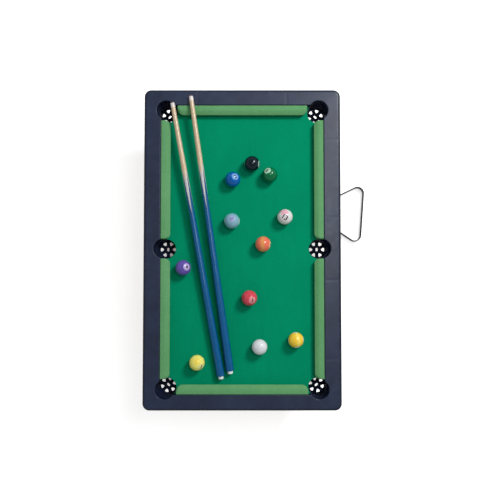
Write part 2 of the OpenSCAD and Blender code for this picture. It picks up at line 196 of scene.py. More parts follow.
def moulded(name, dark, light, roughness, grain_mm=0.55, depth_mm=0.012, marks=None, shine=0.5):
    """Moulded plastic: spark-eroded grain, slow colour drift and rubbed patches."""
    look = Look(name, IOR=1.5, Specular_IOR_Level=shine)
    drift = look.noise(38, 3, 0.6)
    speck = look.noise(1.7, 4, 0.7)
    rubbed = look.noise(11, 5, 0.62)
    share = look.span(look.sum(look.scaled(drift, 0.7), look.scaled(speck, 0.3)), 0.35, 0.68, 0, 1)
    look.set(Base_Color=look.mix(share, dark, light))
    look.set(Roughness=look.span(rubbed, 0.32, 0.7, roughness - 0.05, roughness + 0.07))
    height = look.sum(look.scaled(look.noise(grain_mm, 2, 0.5), depth_mm), look.scaled(drift, 0.05))
    if marks:
        height = look.math("SUBTRACT", height, marks(look))
    look.set(Normal=look.bump(height))
    return look.material


def dip(look, value, centre, reach, depth):
    """A soft groove of this depth where value is near centre."""
    off = look.math("ABSOLUTE", look.math("SUBTRACT", value, centre))
    return look.span(off, 0, reach, depth, 0, smooth=True)


# How far a sink mark reaches to each side of its rib, and its depth, in millimetres
SINK_REACH, SINK_DEPTH = 4, 0.11


def sink_marks(look):
    """Shallow marks where the ribs and bosses under the rails have drawn the surface in."""
    x, y, _ = look.parts(look.at)
    across, along = look.math("ABSOLUTE", x), look.math("ABSOLUTE", y)
    on_side = look.span(across, (open_x - 1) * MM, (open_x + 2) * MM, 0, 1)
    on_end = look.span(along, (open_y - 1) * MM, (open_y + 2) * MM, 0, 1)
    side = look.sum(*[dip(look, along, y_rib * MM, SINK_REACH * MM, SINK_DEPTH) for y_rib in side_ribs])
    end = dip(look, across, end_rib * MM, SINK_REACH * MM, SINK_DEPTH)
    return look.sum(look.math("MULTIPLY", side, on_side), look.math("MULTIPLY", end, on_end))


def flock(name, deep, mid, pale, nap_mm):
    """Short flocked fibre: clumped nap, stray lighter fibres and faint brushed streaks."""
    look = Look(name, Roughness=0.95, Specular_IOR_Level=0.05)
    fibre = look.noise(nap_mm, 3, 0.75)
    clump = look.noise(nap_mm * 5, 4, 0.6)
    patch = look.noise(60, 3, 0.55)
    brushed = look.noise(9, 3, 0.5, at=look.vector("MULTIPLY", look.at, (1.0, 0.16, 1.0)))
    tone = look.sum(look.scaled(fibre, 0.42), look.scaled(clump, 0.26), look.scaled(patch, 0.2),
                    look.scaled(brushed, 0.12))
    look.set(Base_Color=look.ramp(tone, (0.33, deep), (0.5, mid), (0.68, pale)))
    height = look.sum(look.scaled(fibre, 0.11), look.scaled(clump, 0.06))
    look.set(Normal=look.bump(height))
    return look.material


def fibreboard():
    look = Look("fibreboard", Roughness=0.85, Specular_IOR_Level=0.3)
    fibre = look.noise(0.8, 5, 0.7, at=look.vector("MULTIPLY", look.at, (1.0, 1.0, 0.35)))
    cloud = look.noise(14, 4, 0.6)
    fleck = look.noise(2.6, 2, 0.5)
    tone = look.sum(look.scaled(fibre, 0.5), look.scaled(cloud, 0.35), look.scaled(fleck, 0.15))
    look.set(Base_Color=look.ramp(tone, (0.34, rgb(96, 80, 62)), (0.5, rgb(134, 114, 92)),
                                  (0.66, rgb(168, 148, 122))))
    look.set(Normal=look.bump(look.scaled(fibre, 0.06)))
    return look.material


def zinc():
    look = Look("zinc_plate", Metallic=1.0)
    spangle = look.noise(0.7, 3, 0.6)
    stain = look.noise(3.2, 2, 0.5)
    look.set(Base_Color=look.mix(stain, rgb(150, 152, 158), rgb(198, 198, 200)))
    look.set(Roughness=look.span(spangle, 0.3, 0.7, 0.28, 0.46))
    look.set(Normal=look.bump(look.scaled(spangle, 0.004)))
    return look.material


def rubber():
    look = Look("foot_rubber_black", Specular_IOR_Level=0.3)
    dust = look.noise(2.2, 4, 0.65)
    fine = look.noise(0.35, 2, 0.5)
    look.set(Base_Color=look.mix(look.span(dust, 0.45, 0.75, 0, 1), rgb(26, 26, 28), rgb(62, 61, 60)))
    look.set(Roughness=look.span(dust, 0.3, 0.7, 0.78, 0.93), Normal=look.bump(look.scaled(fine, 0.03)))
    return look.material


# Blue points run from the painted butt up into a pale band that ends in short points on the bare wood.
# Each pair is where the gaps between the points close and where their tips are, in metres from the butt.
POINTS_ROUND = 4
PALE_POINTS, BLUE_POINTS = (0.318, 0.338), (0.258, 0.330)
DARK_LINE = 0.016


def painted_cue():
    """Lacquered wood with a blue butt. The UV map holds turns round the cue and metres from the butt."""
    look = Look("painted_cue", Specular_IOR_Level=0.4, IOR=1.5)
    turn, along, _ = look.parts(look.add("UVMap", uv_map="lathe").outputs[0])
    angle = look.scaled(turn, 2 * math.pi)
    round_wood = look.add("CombineXYZ", {0: look.math("COSINE", angle), 1: look.math("SINE", angle),
                                        2: look.scaled(along, 14.0)}).outputs[0]

    def wood_noise(scale, detail, rough):
        values = {"Vector": round_wood, "Scale": scale, "Detail": detail, "Roughness": rough}
        return look.add("TexNoise", values).outputs[0]

    grain, pore = wood_noise(3.2, 5.0, 0.62), wood_noise(13.0, 3.0, 0.6)
    tone = look.sum(look.scaled(grain, 0.7), look.scaled(pore, 0.3))
    wood = look.ramp(tone, (0.34, rgb(176, 150, 124)), (0.5, rgb(196, 172, 142)), (0.66, rgb(204, 188, 158)))

    cell = look.math("FRACT", look.scaled(turn, POINTS_ROUND))
    off = look.scaled(look.math("ABSOLUTE", look.math("SUBTRACT", cell, 0.5)), 1 / POINTS_ROUND)

    def inside(base, tip, grow):
        """How far inside a point's outline the surface lies, in turns; negative outside it."""
        fall = (0.5 / POINTS_ROUND + grow) / (tip - base)
        return look.math("SUBTRACT", look.sum(look.scaled(along, -fall), tip * fall), off)

    cloud = look.noise(7, 4, 0.6)
    blue = look.mix(cloud, rgb(0, 72, 120), rgb(0, 92, 146))
    dark = look.mix(cloud, rgb(16, 24, 66), rgb(26, 38, 86))
    pale = look.mix(cloud, rgb(166, 168, 172), rgb(190, 188, 186))
    blue_points = inside(*BLUE_POINTS, DARK_LINE)
    body = look.mix(look.math("GREATER_THAN", inside(*PALE_POINTS, 0.0), 0.0), wood, pale)
    body = look.mix(look.math("GREATER_THAN", blue_points, 0.0), body, dark)
    body = look.mix(look.math("GREATER_THAN", blue_points, DARK_LINE), body, blue)
    look.set(Base_Color=body, Roughness=look.span(cloud, 0.3, 0.7, 0.2, 0.26))
    look.set(Normal=look.bump(look.scaled(grain, 0.006)))
    return look.material


def plain_resin(name, shade, tint, roughness):
    """White turned plastic with a faint yellowing and handling marks."""
    look = Look(name, IOR=1.5)
    cloud = look.noise(2.4, 4, 0.6)
    look.set(Base_Color=look.mix(look.span(cloud, 0.35, 0.7, 0, 1), shade, tint))
    look.set(Roughness=look.span(cloud, 0.3, 0.7, roughness, roughness + 0.12))
    look.set(Normal=look.bump(look.scaled(look.noise(0.5, 2, 0.5), 0.006)))
    return look.material


def leather():
    look = Look("pressed_leather", Roughness=0.8)
    layer = look.noise(0.6, 4, 0.7)
    look.set(Base_Color=look.ramp(layer, (0.35, rgb(84, 66, 66)), (0.65, rgb(140, 116, 112))))
    look.set(Normal=look.bump(look.scaled(layer, 0.08)))
    return look.material


# ==== meshes
class Shell:
    """Gathers rings of points in millimetres, joins them with faces, and makes one closed mesh."""

    def __init__(self):
        self.points, self.faces = [], []

    def ring(self, points):
        start = len(self.points)
        self.points += [Vector(p) for p in points]
        return range(start, start + len(points))

    def join(self, a, b):
        count = len(a)
        for i in range(count):
            k = (i + 1) % count
            self.faces.append((a[i], a[k], b[k], b[i]))

    def rings(self, rings, closed=False):
        made = [self.ring(r) for r in rings]
        for a, b in zip(made, made[1:] + made[:1] if closed else made[1:]):
            self.join(a, b)
        return made

    def cap(self, outer, holes=(), spacing=None, creases=()):
        """Fills a flat outline that has holes, at the height of its points."""
        flat, triangles = filled(outer, holes, spacing, creases)
        start = len(self.points)
        self.points += [Vector((p[0], p[1], outer[0][2])) for p in flat]
        self.faces += [tuple(start + i for i in t) for t in triangles]

    def end(self, ring):
        self.faces.append(tuple(ring))

    def mesh(self, name):
        mesh = bpy.data.meshes.new(name)
        mesh.from_pydata([p * MM for p in self.points], [], self.faces)
        bm = bmesh.new()
        bm.from_mesh(mesh)
        bmesh.ops.remove_doubles(bm, verts=bm.verts, dist=2e-7)
        bmesh.ops.recalc_face_normals(bm, faces=bm.faces)
        bm.to_mesh(mesh)
        bm.free()
        return mesh


# Points tested at a time, and how near an outline a grid point may lie, as a share of the spacing
BLOCK, LEAST_GAP = 500, 0.4


def filled(outer, holes, spacing, creases):
    """Points and triangles inside an outline and outside its holes, with a grid of points between.

    Edges run along the creases."""
    loops = [[(p[0], p[1]) for p in loop] for loop in (outer, *holes)]
    starts = np.array([p for loop in loops for p in loop])
    ends = np.array([p for loop in loops for p in loop[1:] + loop[:1]])
    along = ends - starts

    def inside(points):
        """True where a line to the right crosses the loops an odd number of times."""
        found = []
        for block in np.array_split(points, max(1, len(points) // BLOCK)):
            x, y = block[:, :1], block[:, 1:]
            spans = (starts[:, 1] > y) != (ends[:, 1] > y)
            rise = np.where(along[:, 1] == 0, 1e-12, along[:, 1])
            cross = starts[:, 0] + (y - starts[:, 1]) * along[:, 0] / rise
            found.append((spans & (x < cross)).sum(axis=1) % 2 == 1)
        return np.concatenate(found)

    points = [tuple(p) for p in starts]
    if spacing:
        low, high = starts.min(axis=0), starts.max(axis=0)
        counts = np.maximum(2, np.ceil((high - low) / spacing)).astype(int)
        axes = [np.linspace(a, b, n + 1)[1:-1] for a, b, n in zip(low, high, counts)]
        grid = np.stack(np.meshgrid(*axes), -1).reshape(-1, 2)
        grid = grid[inside(grid)]
        near = []
        for block in np.array_split(grid, max(1, len(grid) // BLOCK)):
            to = block[:, None] - starts
            share = np.clip((to * along).sum(-1) / np.maximum((along ** 2).sum(-1), 1e-12), 0, 1)
            near.append(np.linalg.norm(to - share[..., None] * along, axis=-1).min(axis=1))
        points += [tuple(p) for p in grid[np.concatenate(near) > LEAST_GAP * spacing]]
    edges, start = [], 0
    for loop in loops:
        edges += [(start + i, start + (i + 1) % len(loop)) for i in range(len(loop))]
        start += len(loop)
    for crease in creases:
        edges += [(len(points) + i, len(points) + i + 1) for i in range(len(crease) - 1)]
        points += [tuple(p) for p in crease]
    made, _, faces, *_ = geometry.delaunay_2d_cdt([Vector(p) for p in points], edges, [], 0, 1e-7)
    centres = np.array([np.mean([made[i] for i in face], axis=0) for face in faces])
    return made, [face for face, keep in zip(faces, inside(centres)) if keep]


def piece(name, mesh, look, body, nodes=(), sharp=32, weighted=True):
    """Makes a mesh one piece of the model, shaded smooth but for its sharp edges."""
    mesh.materials.append(look)
    mesh.shade_smooth()
    mesh.set_sharp_from_angle(angle=math.radians(sharp))
    obj = bpy.data.objects.new(name, mesh)
    bpy.context.scene.collection.objects.link(obj)
    if weighted:
        normals = obj.modifiers.new("normals", "WEIGHTED_NORMAL")
        normals.keep_sharp = True
    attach(obj, body)
    if nodes:
        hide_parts(*nodes)
    return obj


def refined(node, name, look, body, edge_mm):
    """A piece with a CAD node's shape, its flat faces whole and its edges rounded as a mould leaves them."""
    flat_angle, edge_angle = math.radians(0.6), math.radians(28)
    mesh = frame["nodes"][node].data.copy()
    mesh.name = name
    mesh.materials.clear()
    bm = bmesh.new()
    bm.from_mesh(mesh)
    bmesh.ops.remove_doubles(bm, verts=bm.verts, dist=1e-6)
    bmesh.ops.dissolve_limit(bm, angle_limit=flat_angle, verts=bm.verts, edges=bm.edges)
    bmesh.ops.recalc_face_normals(bm, faces=bm.faces)
    bm.to_mesh(mesh)
    bm.free()
    if "custom_normal" in mesh.attributes:
        mesh.attributes.remove(mesh.attributes["custom_normal"])
    obj = piece(name, mesh, look, body, [node], weighted=False)
    bevel = obj.modifiers.new("edges", "BEVEL")
    bevel.width, bevel.segments, bevel.limit_method = edge_mm * MM, 2, "ANGLE"
    bevel.angle_limit, bevel.use_clamp_overlap = edge_angle, True
    bevel.harden_normals = False
    normals = obj.modifiers.new("normals", "WEIGHTED_NORMAL")
    normals.keep_sharp = False
    return obj


def arc(centre, radius, start, end, steps):
    """Points on an arc in the plan, angles in radians, both ends included."""
    turns = [start + (end - start) * i / steps for i in range(steps + 1)]
    return [Vector((centre[0] + radius * math.cos(a), centre[1] + radius * math.sin(a))) for a in turns]


def line(a, b, steps):
    """Points between a and b, both left out."""
    return [a.lerp(b, i / steps) for i in range(1, steps)]


def at_height(points, z):
    return [Vector((p[0], p[1], z)) for p in points]


def rounded_rect(hx, hy, r, steps=8):
    points = []
    for sx, sy, start in ((1, 1, 0), (-1, 1, 1), (-1, -1, 2), (1, -1, 3)):
        middle = (sx * (hx - r), sy * (hy - r))
        points += arc(middle, r, start * math.pi / 2, (start + 1) * math.pi / 2, steps)
    return points


def horn(normal, depth, tangent, centre, radius, fillet, steps=4):
    """The arc that rounds the frame where a straight rail face meets a pocket's circle.

    The rail face is at depth along normal; the circle lies towards -tangent. It runs from the rail
    to the circle, and its last point's angle on the circle comes with it."""
    reach = radius + fillet
    off = depth + fillet - centre.dot(normal)
    hub = normal * (depth + fillet) + tangent * (centre.dot(tangent) + math.sqrt(reach ** 2 - off ** 2))
    on_circle = centre + (hub - centre) * radius / reach
    first, last = normal * depth + tangent * hub.dot(tangent) - hub, on_circle - hub
    a = math.atan2(first.y, first.x)
    turn = math.atan2(first.x * last.y - first.y * last.x, first.dot(last))
    spot = on_circle - centre
    return arc(hub, fillet, a, a + turn, steps), math.atan2(spot.y, spot.x)


def field_quarter(g):
    """The opening between the rails grown by g, from the +X axis round to the +Y axis."""
    across, along = Vector((1, 0)), Vector((0, 1))
    r = pocket_r + g
    near, near_angle = horn(across, open_x + g, along, middle_at, r, horn_r)
    far, far_angle = horn(across, open_x + g, -along, corner_at, r, horn_r)
    end, end_angle = horn(along, open_y + g, -across, corner_at, r, horn_r)
    points = arc(middle_at, r, 0, near_angle, 9)[:-1] + near[::-1]
    points += line(near[0], far[0], 20) + far
    points += arc(corner_at, r, far_angle, end_angle % (2 * math.pi), 20)[1:-1]
    points += end[::-1] + line(end[0], Vector((0, open_y + g)), 12) + [Vector((0, open_y + g))]
    return points


def four_quarters(quarter):
    """A closed ring from its back right quarter, which starts on +X and ends on +Y."""
    def mirrored(points, sx, sy):
        return [Vector((p.x * sx, p.y * sy)) for p in points]
    ring = quarter + mirrored(quarter[::-1], -1, 1)[1:]
    return ring + mirrored(quarter, -1, -1)[1:] + mirrored(quarter[::-1], 1, -1)[1:-1]


def quarter_turns(radius, steps):
    """(offset from the side, drop from the top) round a quarter circle, from the top to the side."""
    for i in range(steps + 1):
        a = math.pi / 2 * i / steps
        yield radius * (1 - math.sin(a)), radius * (1 - math.cos(a))


# ---- the moulded frame
def union(mesh, other, name):
    """One mesh that is the union of two closed ones."""
    pair = [bpy.data.objects.new(name + tag, m) for tag, m in (("_a", mesh), ("_b", other))]
    for obj in pair:
        bpy.context.scene.collection.objects.link(obj)
    cut = pair[0].modifiers.new("union", "BOOLEAN")
    cut.operation, cut.object, cut.solver = "UNION", pair[1], "EXACT"
    bpy.context.view_layer.update()
    made = bpy.data.meshes.new_from_object(pair[0].evaluated_get(bpy.context.evaluated_depsgraph_get()))
    for obj in pair:
        bpy.data.objects.remove(obj)
    made.name = name
    return made


def frame_moulding():
    ceiling = rail_z - wall
    shell = Shell()

    def outside(inset, z):
        return at_height(rounded_rect(half_w - inset, half_l - inset, corner_r - inset), z)

    def inside(g, z):
        return at_height(four_quarters(field_quarter(g)), z)

    # How far each wall's foot is broken, and where the break's middle lies
    skirt_break, skirt_nick = 0.5, 0.15
    foot_break, foot_nick = 0.4, 0.12
    outer = [(edge_r + skirt_break, rail_z)]
    outer += [(d, rail_z - drop) for d, drop in quarter_turns(edge_r, 10)]
    outer += [(0, skirt_z + skirt_break), (skirt_nick, skirt_z + skirt_nick), (skirt_break, skirt_z),
              (wall - skirt_break, skirt_z), (wall - skirt_nick, skirt_z + skirt_nick),
              (wall, skirt_z + skirt_break), (wall, ceiling)]
    inner = [(lip_r + foot_break, rail_z)]
    inner += [(d, rail_z - drop) for d, drop in quarter_turns(lip_r, 5)]
    inner += [(0, cloth_z + foot_break), (foot_nick, cloth_z + foot_nick), (foot_break, cloth_z),
              (wall - foot_break, cloth_z), (wall, cloth_z + foot_break), (wall, ceiling)]
    shell.rings([outside(*o) for o in outer])
    shell.rings([inside(*i) for i in inner])
    # A mitre runs from each corner pocket to the frame's corner and stops short of both
    half_root, near_gap, far_gap = 0.7071, 0.6, 2.6
    diagonal = Vector((1, 1))
    near = corner_at + diagonal * ((pocket_r + lip_r + foot_break) * half_root + near_gap)
    far = Vector((half_w, half_l)) - diagonal * (edge_r + far_gap)
    mitre = [near] + line(near, far, 4) + [far]
    mitres = [[Vector((p.x * sx, p.y * sy)) for p in mitre] for sx, sy in QUARTERS]
    top_spacing, under_spacing = 7, 12
    shell.cap(outside(*outer[0]), [inside(*inner[0])], top_spacing, mitres)
    shell.cap(outside(*outer[-1]), [inside(*inner[-1])], under_spacing)
    for p in shell.points:
        out = max((abs(p.x) - open_x) / (half_w - open_x), (abs(p.y) - open_y) / (half_l - open_y), 0)
        high = min(1.0, max(0.0, (p.z - rail_z + edge_r) / edge_r))
        p.z -= rail_fall * out * high

    # Ribs and bosses are rooted this deep in the rails
    root = ceiling + 0.25
    boss_break, boss_steps, rib_stop = 0.3, 32, 3
    ribs = Shell()

    def rib(low, high):
        corners = [Vector(p) for p in (low, (high[0], low[1]), high, (low[0], high[1]))]
        for end in ribs.rings([at_height(corners, cloth_z), at_height(corners, root)]):
            ribs.end(end)

    def boss(x, y):
        turn = [(math.cos(a), math.sin(a)) for a in
                (math.tau * i / boss_steps for i in range(boss_steps))]
        sections = [(boss_r - boss_break, cloth_z), (boss_r, cloth_z + boss_break), (boss_r, root),
                    (pilot_r, root), (pilot_r, cloth_z + boss_break), (pilot_r + boss_break, cloth_z)]
        ribs.rings([[(x + r * c, y + r * s, z) for c, s in turn] for r, z in sections], closed=True)

    for sx, sy in QUARTERS:
        for x, y in [(side_screw_x, y) for y in side_ribs] + [(end_rib, end_screw_y), leg_at[:2]]:
            boss(sx * x, sy * y)
    bosses = ribs.mesh("bosses")
    ribs = Shell()
    across = ((open_x + wall / 2, side_screw_x - rib_stop), (side_screw_x + rib_stop, half_w - wall / 2))
    along = ((open_y + wall / 2, end_screw_y - rib_stop), (end_screw_y + rib_stop, half_l - wall / 2))
    for sx, sy in QUARTERS:
        for y in side_ribs:
            for ends in across:
                low, high = sorted(sx * end for end in ends)
                rib((low, sy * y - rib_t / 2), (high, sy * y + rib_t / 2))
        for ends in along:
            low, high = sorted(sy * end for end in ends)
            rib((sx * end_rib - rib_t / 2, low), (sx * end_rib + rib_t / 2, high))
    return union(union(shell.mesh("shell"), bosses, "with_bosses"), ribs.mesh("ribs"), "frame_moulding")


frame_look = moulded("frame_plastic_satin", rgb(27, 36, 57), rgb(37, 48, 74), 0.4, marks=sink_marks,
                     shine=0.42)
# A darker, rougher copy of the frame plastic for the pocket walls: its darkness is painted shade
wall_shade_look = moulded("frame_plastic_wall_painted_shade", rgb(12, 19, 44), rgb(18, 28, 58), 0.7, shine=0.12)
# A darker, rougher copy of the frame plastic for the outer rounding, sides and underside: its darkness is
# painted shade
side_shade_look = moulded("frame_plastic_side_painted_shade", rgb(15, 22, 37), rgb(22, 31, 51), 0.5, shine=0.22)
frame_piece = piece("frame_moulding", frame_moulding(), frame_look, "table", ["top_frame"],
                    sharp=40)
frame_piece.data.materials.append(wall_shade_look)
frame_piece.data.materials.append(side_shade_look)
WALL_INDEX, SIDE_INDEX = 1, 2
# The rougher walls and sides, darker with painted shade, begin a little below where the rail tops start to
# round over
wall_top, side_top = rail_z - 0.8 * lip_r, rail_z - 0.15 * edge_r
margin = edge_r + 1
for face in frame_piece.data.polygons:
    x, y, z = face.center / MM
    within_rails = abs(x) < half_w - margin and abs(y) < half_l - margin
    if within_rails and cloth_z - 1 < z < wall_top:
        face.material_index = WALL_INDEX
    elif not within_rails and z < side_top:
        face.material_index = SIDE_INDEX


# ---- the flocked cloth
HOLE_STEPS, OUTLINE_STEP = 64, 8


def pocket_hole(grow, sx, sy, middle):
    """The outline of a pocket's hole through the bed: the frame's bite and the basket's rim together."""
    bite, outward = (middle_at, Vector((1, 0))) if middle else (corner_at, Vector((1, 1)))
    undercut, shift = (middle_undercut, middle_shift) if middle else (corner_undercut, corner_shift)
    first, second = bite + outward * undercut, bite - outward * shift
    hub = (first + second) / 2
    points = []
    for i in range(HOLE_STEPS):
        a = math.tau * i / HOLE_STEPS
        way = Vector((math.cos(a), math.sin(a)))
        reach = []
        for centre in (first, second):
            to = centre - hub
            ahead = to.dot(way)
            radius = pocket_r + hole_extra + grow
            reach.append(ahead + math.sqrt(radius ** 2 - to.length_squared + ahead ** 2))
        p = hub + way * max(reach)
        points.append(Vector((p.x * sx, p.y * sy)))
    return points


POCKETS = [(sx, sy, False) for sx, sy in QUARTERS] + [(-1, 1, True), (1, 1, True)]


def cloth_outline(inset):
    x, y, cut = cloth_half.x - inset, cloth_half.y - inset, cloth_corner_cut
    corners = [(x, -y + cut), (x, y - cut), (x - cut, y), (-x + cut, y), (-x, y - cut), (-x, -y + cut),
               (-x + cut, -y), (x - cut, -y)]
    corners = [Vector(c) for c in corners]
    points = []
    for a, b in zip(corners, corners[1:] + corners[:1]):
        points += [a] + line(a, b, max(1, round((b - a).length / OUTLINE_STEP)))
    return points


def bed_cloth():
    shell = Shell()
    thick = cloth_z - board_z
    outer = [(0.35, cloth_z), (0.08, cloth_z - 0.15), (0, cloth_z - thick / 2), (0, board_z)]
    shell.rings([at_height(cloth_outline(d), z) for d, z in outer])
    hole = [(0.75, cloth_z), (0.3, cloth_z - 0.12), (0.05, cloth_z - 0.4), (0, board_z)]
    for pocket in POCKETS:
        shell.rings([at_height(pocket_hole(g, *pocket), z) for g, z in hole])
    top_spacing, under_spacing = 6, 16
    faces = ((outer[0], hole[0], top_spacing), (outer[-1], hole[-1], under_spacing))
    for (inset, z), (grow, _), spacing in faces:
        holes = [pocket_hole(grow, *pocket) for pocket in POCKETS]
        shell.cap(at_height(cloth_outline(inset), z), holes, spacing)
    return shell.mesh("bed_cloth_sheet")


cloth_look = flock("cloth_flock", rgb(0, 123, 86), rgb(0, 134, 96), rgb(0, 146, 108), 0.42)
cloth = piece("bed_cloth_sheet", bed_cloth(), cloth_look, "table", ["bed_cloth"])


# ---- cushions
# Levels of a cushion from its foot to its crown: nose depth and rail edge in from the rail face,
# height above the cloth, and how far the ends draw in
CUSHION_LEVELS = [
    (11.0, 0.0, 0.0, 0.0), (12.8, 0.0, 3.8, 0.0), (14.4, 0.0, 7.2, 0.0), (14.82, 0.0, 8.1, 0.0),
    (15.0, 0.0, 8.75, 0.0), (14.98, 0.0, 9.3, 0.0), (14.75, 0.0, 9.8, 0.05), (14.3, 0.0, 10.15, 0.1),
    (13.2, 0.0, 10.8, 0.15), (11.4, 0.0, 11.8, 0.25), (9.8, 0.0, 12.62, 0.4), (8.9, 0.05, 12.98, 0.6),
    (7.9, 0.35, 13.28, 1.0), (6.6, 0.95, 13.44, 1.7), (5.2, 1.9, 13.5, 2.7)]


def rounded_turn(corner, before, after, radius, steps):
    """Points that round a corner between the ways to before and after."""
    u, v = (before - corner).normalized(), (after - corner).normalized()
    half = u.angle(v) / 2
    hub = corner + (u + v).normalized() * radius / math.sin(half)
    first = corner + u * radius / math.tan(half) - hub
    last = corner + v * radius / math.tan(half) - hub
    start = math.atan2(first.y, first.x)
    turn = math.atan2(first.x * last.y - first.y * last.x, first.dot(last))
    return arc(hub, radius, start, start + turn, steps)


def cushion(name, node, ends, rounds, place):
    """A cushion along +X in its own plan, its rail face on y = 0 and its nose towards -Y."""
    # The end rounds shrink by this share of how far a level's nose lies back, and leave this much flat
    shrink, least_flat, crown_spacing = 0.55, 0.4, 3.2
    long_steps, end_steps, turn_steps = 26, 3, 8
    shell = Shell()
    rings = []
    for nose, back, z, draw in CUSHION_LEVELS:
        a0, a1 = Vector((ends[0] + draw, -back)), Vector((ends[0] + draw, -nose))
        b0, b1 = Vector((ends[1] - draw, -back)), Vector((ends[1] - draw, -nose))
        radii = [min(r - shrink * (cushion_w - nose), nose - back - least_flat) for r in rounds]
        near = rounded_turn(a1, a0, b1, radii[0], turn_steps)
        far = rounded_turn(b1, a1, b0, radii[1], turn_steps)
        plan = [a0] + line(a0, near[0], end_steps) + near + line(near[-1], far[0], long_steps) + far
        plan += line(far[-1], b0, end_steps) + [b0] + line(b0, a0, long_steps)
        rings.append([place(p, cloth_z + z) for p in plan])
    foot, *_, crown = shell.rings(rings)
    shell.end(foot)
    shell.cap([tuple(shell.points[i]) for i in crown], (), crown_spacing)
    obj = piece(name, shell.mesh(name), cushion_look, "table", [node], sharp=55)


cushion_look = flock("cushion_flock", rgb(80, 139, 90), rgb(95, 152, 102), rgb(111, 165, 115), 0.5)
END_END, SIDE_NEAR, SIDE_FAR = 104.3, 15.5, 206.0
END_ROUND, NEAR_ROUND, FAR_ROUND = 10.3, 8.5, 9.0
for sy, where in ((1, "back"), (-1, "front")):
    face = sy * (open_y - cushion_gap)
    cushion(f"rail_cushion_{where}", f"cushion_{where}", (-END_END, END_END), (END_ROUND, END_ROUND),
            lambda p, z, sy=sy, face=face: (p.x, face + sy * p.y, z))
    for sx, side in ((-1, "left"), (1, "right")):
        face_x = sx * (open_x - cushion_gap)
        cushion(f"rail_cushion_{side}_{where}", f"cushion_{side}_{where}", (SIDE_NEAR, SIDE_FAR),
                (NEAR_ROUND, FAR_ROUND),
                lambda p, z, sx=sx, sy=sy, face_x=face_x: (face_x + sx * p.y, sy * p.x, z))


# ---- board, baskets, legs and screws
def turned(name, axis, profile, ring, steps=64):
    """A body turned about an upright axis from (radius, height) pairs; a ring's profile closes on itself."""
    shell = Shell()
    ways = [(math.cos(a), math.sin(a)) for a in (math.tau * i / steps for i in range(steps))]
    turns = [[(axis[0] + r * c, axis[1] + r * s, z) for c, s in ways] for r, z in profile]
    rings = shell.rings(turns, closed=ring)
    if not ring:
        shell.end(rings[0])
        shell.end(rings[-1])
    return shell.mesh(name)


board_low, board_high = box_mm("bed_board")
leg_top = board_z - (board_high.z - board_low.z)
# Outlines of a leg, up its outside and down its bore, and of a foot pad
LEG = [(5.8, 2.5), (8.5, 2.5), (8.85, 2.65), (9.0, 3.0), (9.0, 6.9), (8.85, 7.3), (8.3, 7.5), (7.95, 7.75),
       (7.85, 8.3), (8.6, 42), (9.35, 76), (10.1, 110), (10.3, 118.6), (10.45, 119.3), (10.9, 119.8),
       (11.8, 120), (12.1, 120.15), (12.2, 120.5), (12.2, 123.5), (12.1, 123.85), (11.8, 124),
       (11.3, 124.05), (11.05, 124.2), (11, 124.6), (11, leg_top - 0.4), (10.9, leg_top - 0.1),
       (10.6, leg_top), (1.85, leg_top), (1.85, leg_top - 3), (8.6, leg_top - 3), (8.9, leg_top - 3.4),
       (8.2, 100), (7.1, 50), (6.0, 8), (5.8, 3)]
PAD = [(7.9, 0.0), (8.3, 0.15), (8.5, 0.5), (8.5, 2.1), (8.35, 2.4), (8.1, 2.5), (5.6, 2.5), (5.6, 7.1),
       (5.45, 7.4), (5.1, 7.5)]
refined("bed_board", "bed_board_panel", fibreboard(), "table", 0.25)
basket_look = moulded("basket_plastic_black", rgb(14, 23, 46), rgb(22, 33, 60), 0.7, 0.4, 0.01, shine=0.15)
leg_look = moulded("leg_plastic_satin", rgb(24, 30, 45), rgb(34, 41, 59), 0.4, shine=0.35)
rubber_look, zinc_look = rubber(), zinc()
for side in ("left", "right"):
    for where in ("back", "middle", "front"):
        refined(f"pocket_basket_{side}_{where}", f"basket_{side}_{where}", basket_look, "table",
                0.35)
    for where in ("back", "front"):
        sx, sy = (-1 if side == "left" else 1), (-1 if where == "front" else 1)
        leg_axis = (sx * leg_at[0], sy * leg_at[1])
        for part, prefix, profile, look, slot in (("leg", "table_", LEG, leg_look, "leg_plastic"),
                                                  ("foot_pad", "rubber_", PAD, rubber_look, "foot_rubber")):
            node = f"{part}_{side}_{where}"
            mesh = turned(prefix + node, leg_axis, profile, ring=profile is LEG)
            piece(prefix + node, mesh, look, "table", [node], sharp=40)
for group in ("bed", "basket", "cushion", "leg"):
    refined(f"{group}_screws", f"{group}_screw_set", zinc_look, "table", 0.12)


# ---- cues
def lathe(name, foot, axis, profile, look, body, node, turns=48):
    """Turns (distance, radius) pairs in millimetres round an axis, with a UV map of turns and metres."""
    side = axis.cross(UP).normalized()
    lift = side.cross(axis).normalized()
    rings = [[foot + axis * s + side * r * math.cos(a) + lift * r * math.sin(a)
              for a in (math.tau * i / turns for i in range(turns))] for s, r in profile]
    mesh = bpy.data.meshes.new(name)
    points = [p for ring in rings for p in ring]
    faces, uvs = [], []
    for k in range(len(rings) - 1):
        for i in range(turns):
            j = (i + 1) % turns
            faces.append((k * turns + i, k * turns + j, (k + 1) * turns + j, (k + 1) * turns + i))
            u0, u1 = i / turns, (i + 1) / turns
            v0, v1 = profile[k][0] * MM, profile[k + 1][0] * MM
            uvs += [(u0, v0), (u1, v0), (u1, v1), (u0, v1)]
    for k, way in ((0, -1), (len(rings) - 1, 1)):
        faces.append(tuple(k * turns + i for i in range(turns)[::way]))
        uvs += [(i / turns, profile[k][0] * MM) for i in range(turns)[::way]]
    mesh.from_pydata([p * MM for p in points], [], faces)
    layer = mesh.uv_layers.new(name="lathe")
    layer.data.foreach_set("uv", [x for uv in uvs for x in uv])
    if mesh.polygons[0].normal.dot(points[0] - foot - axis * profile[0][0]) < 0:
        mesh.flip_normals()
    piece(name, mesh, look, body, [node], sharp=40)


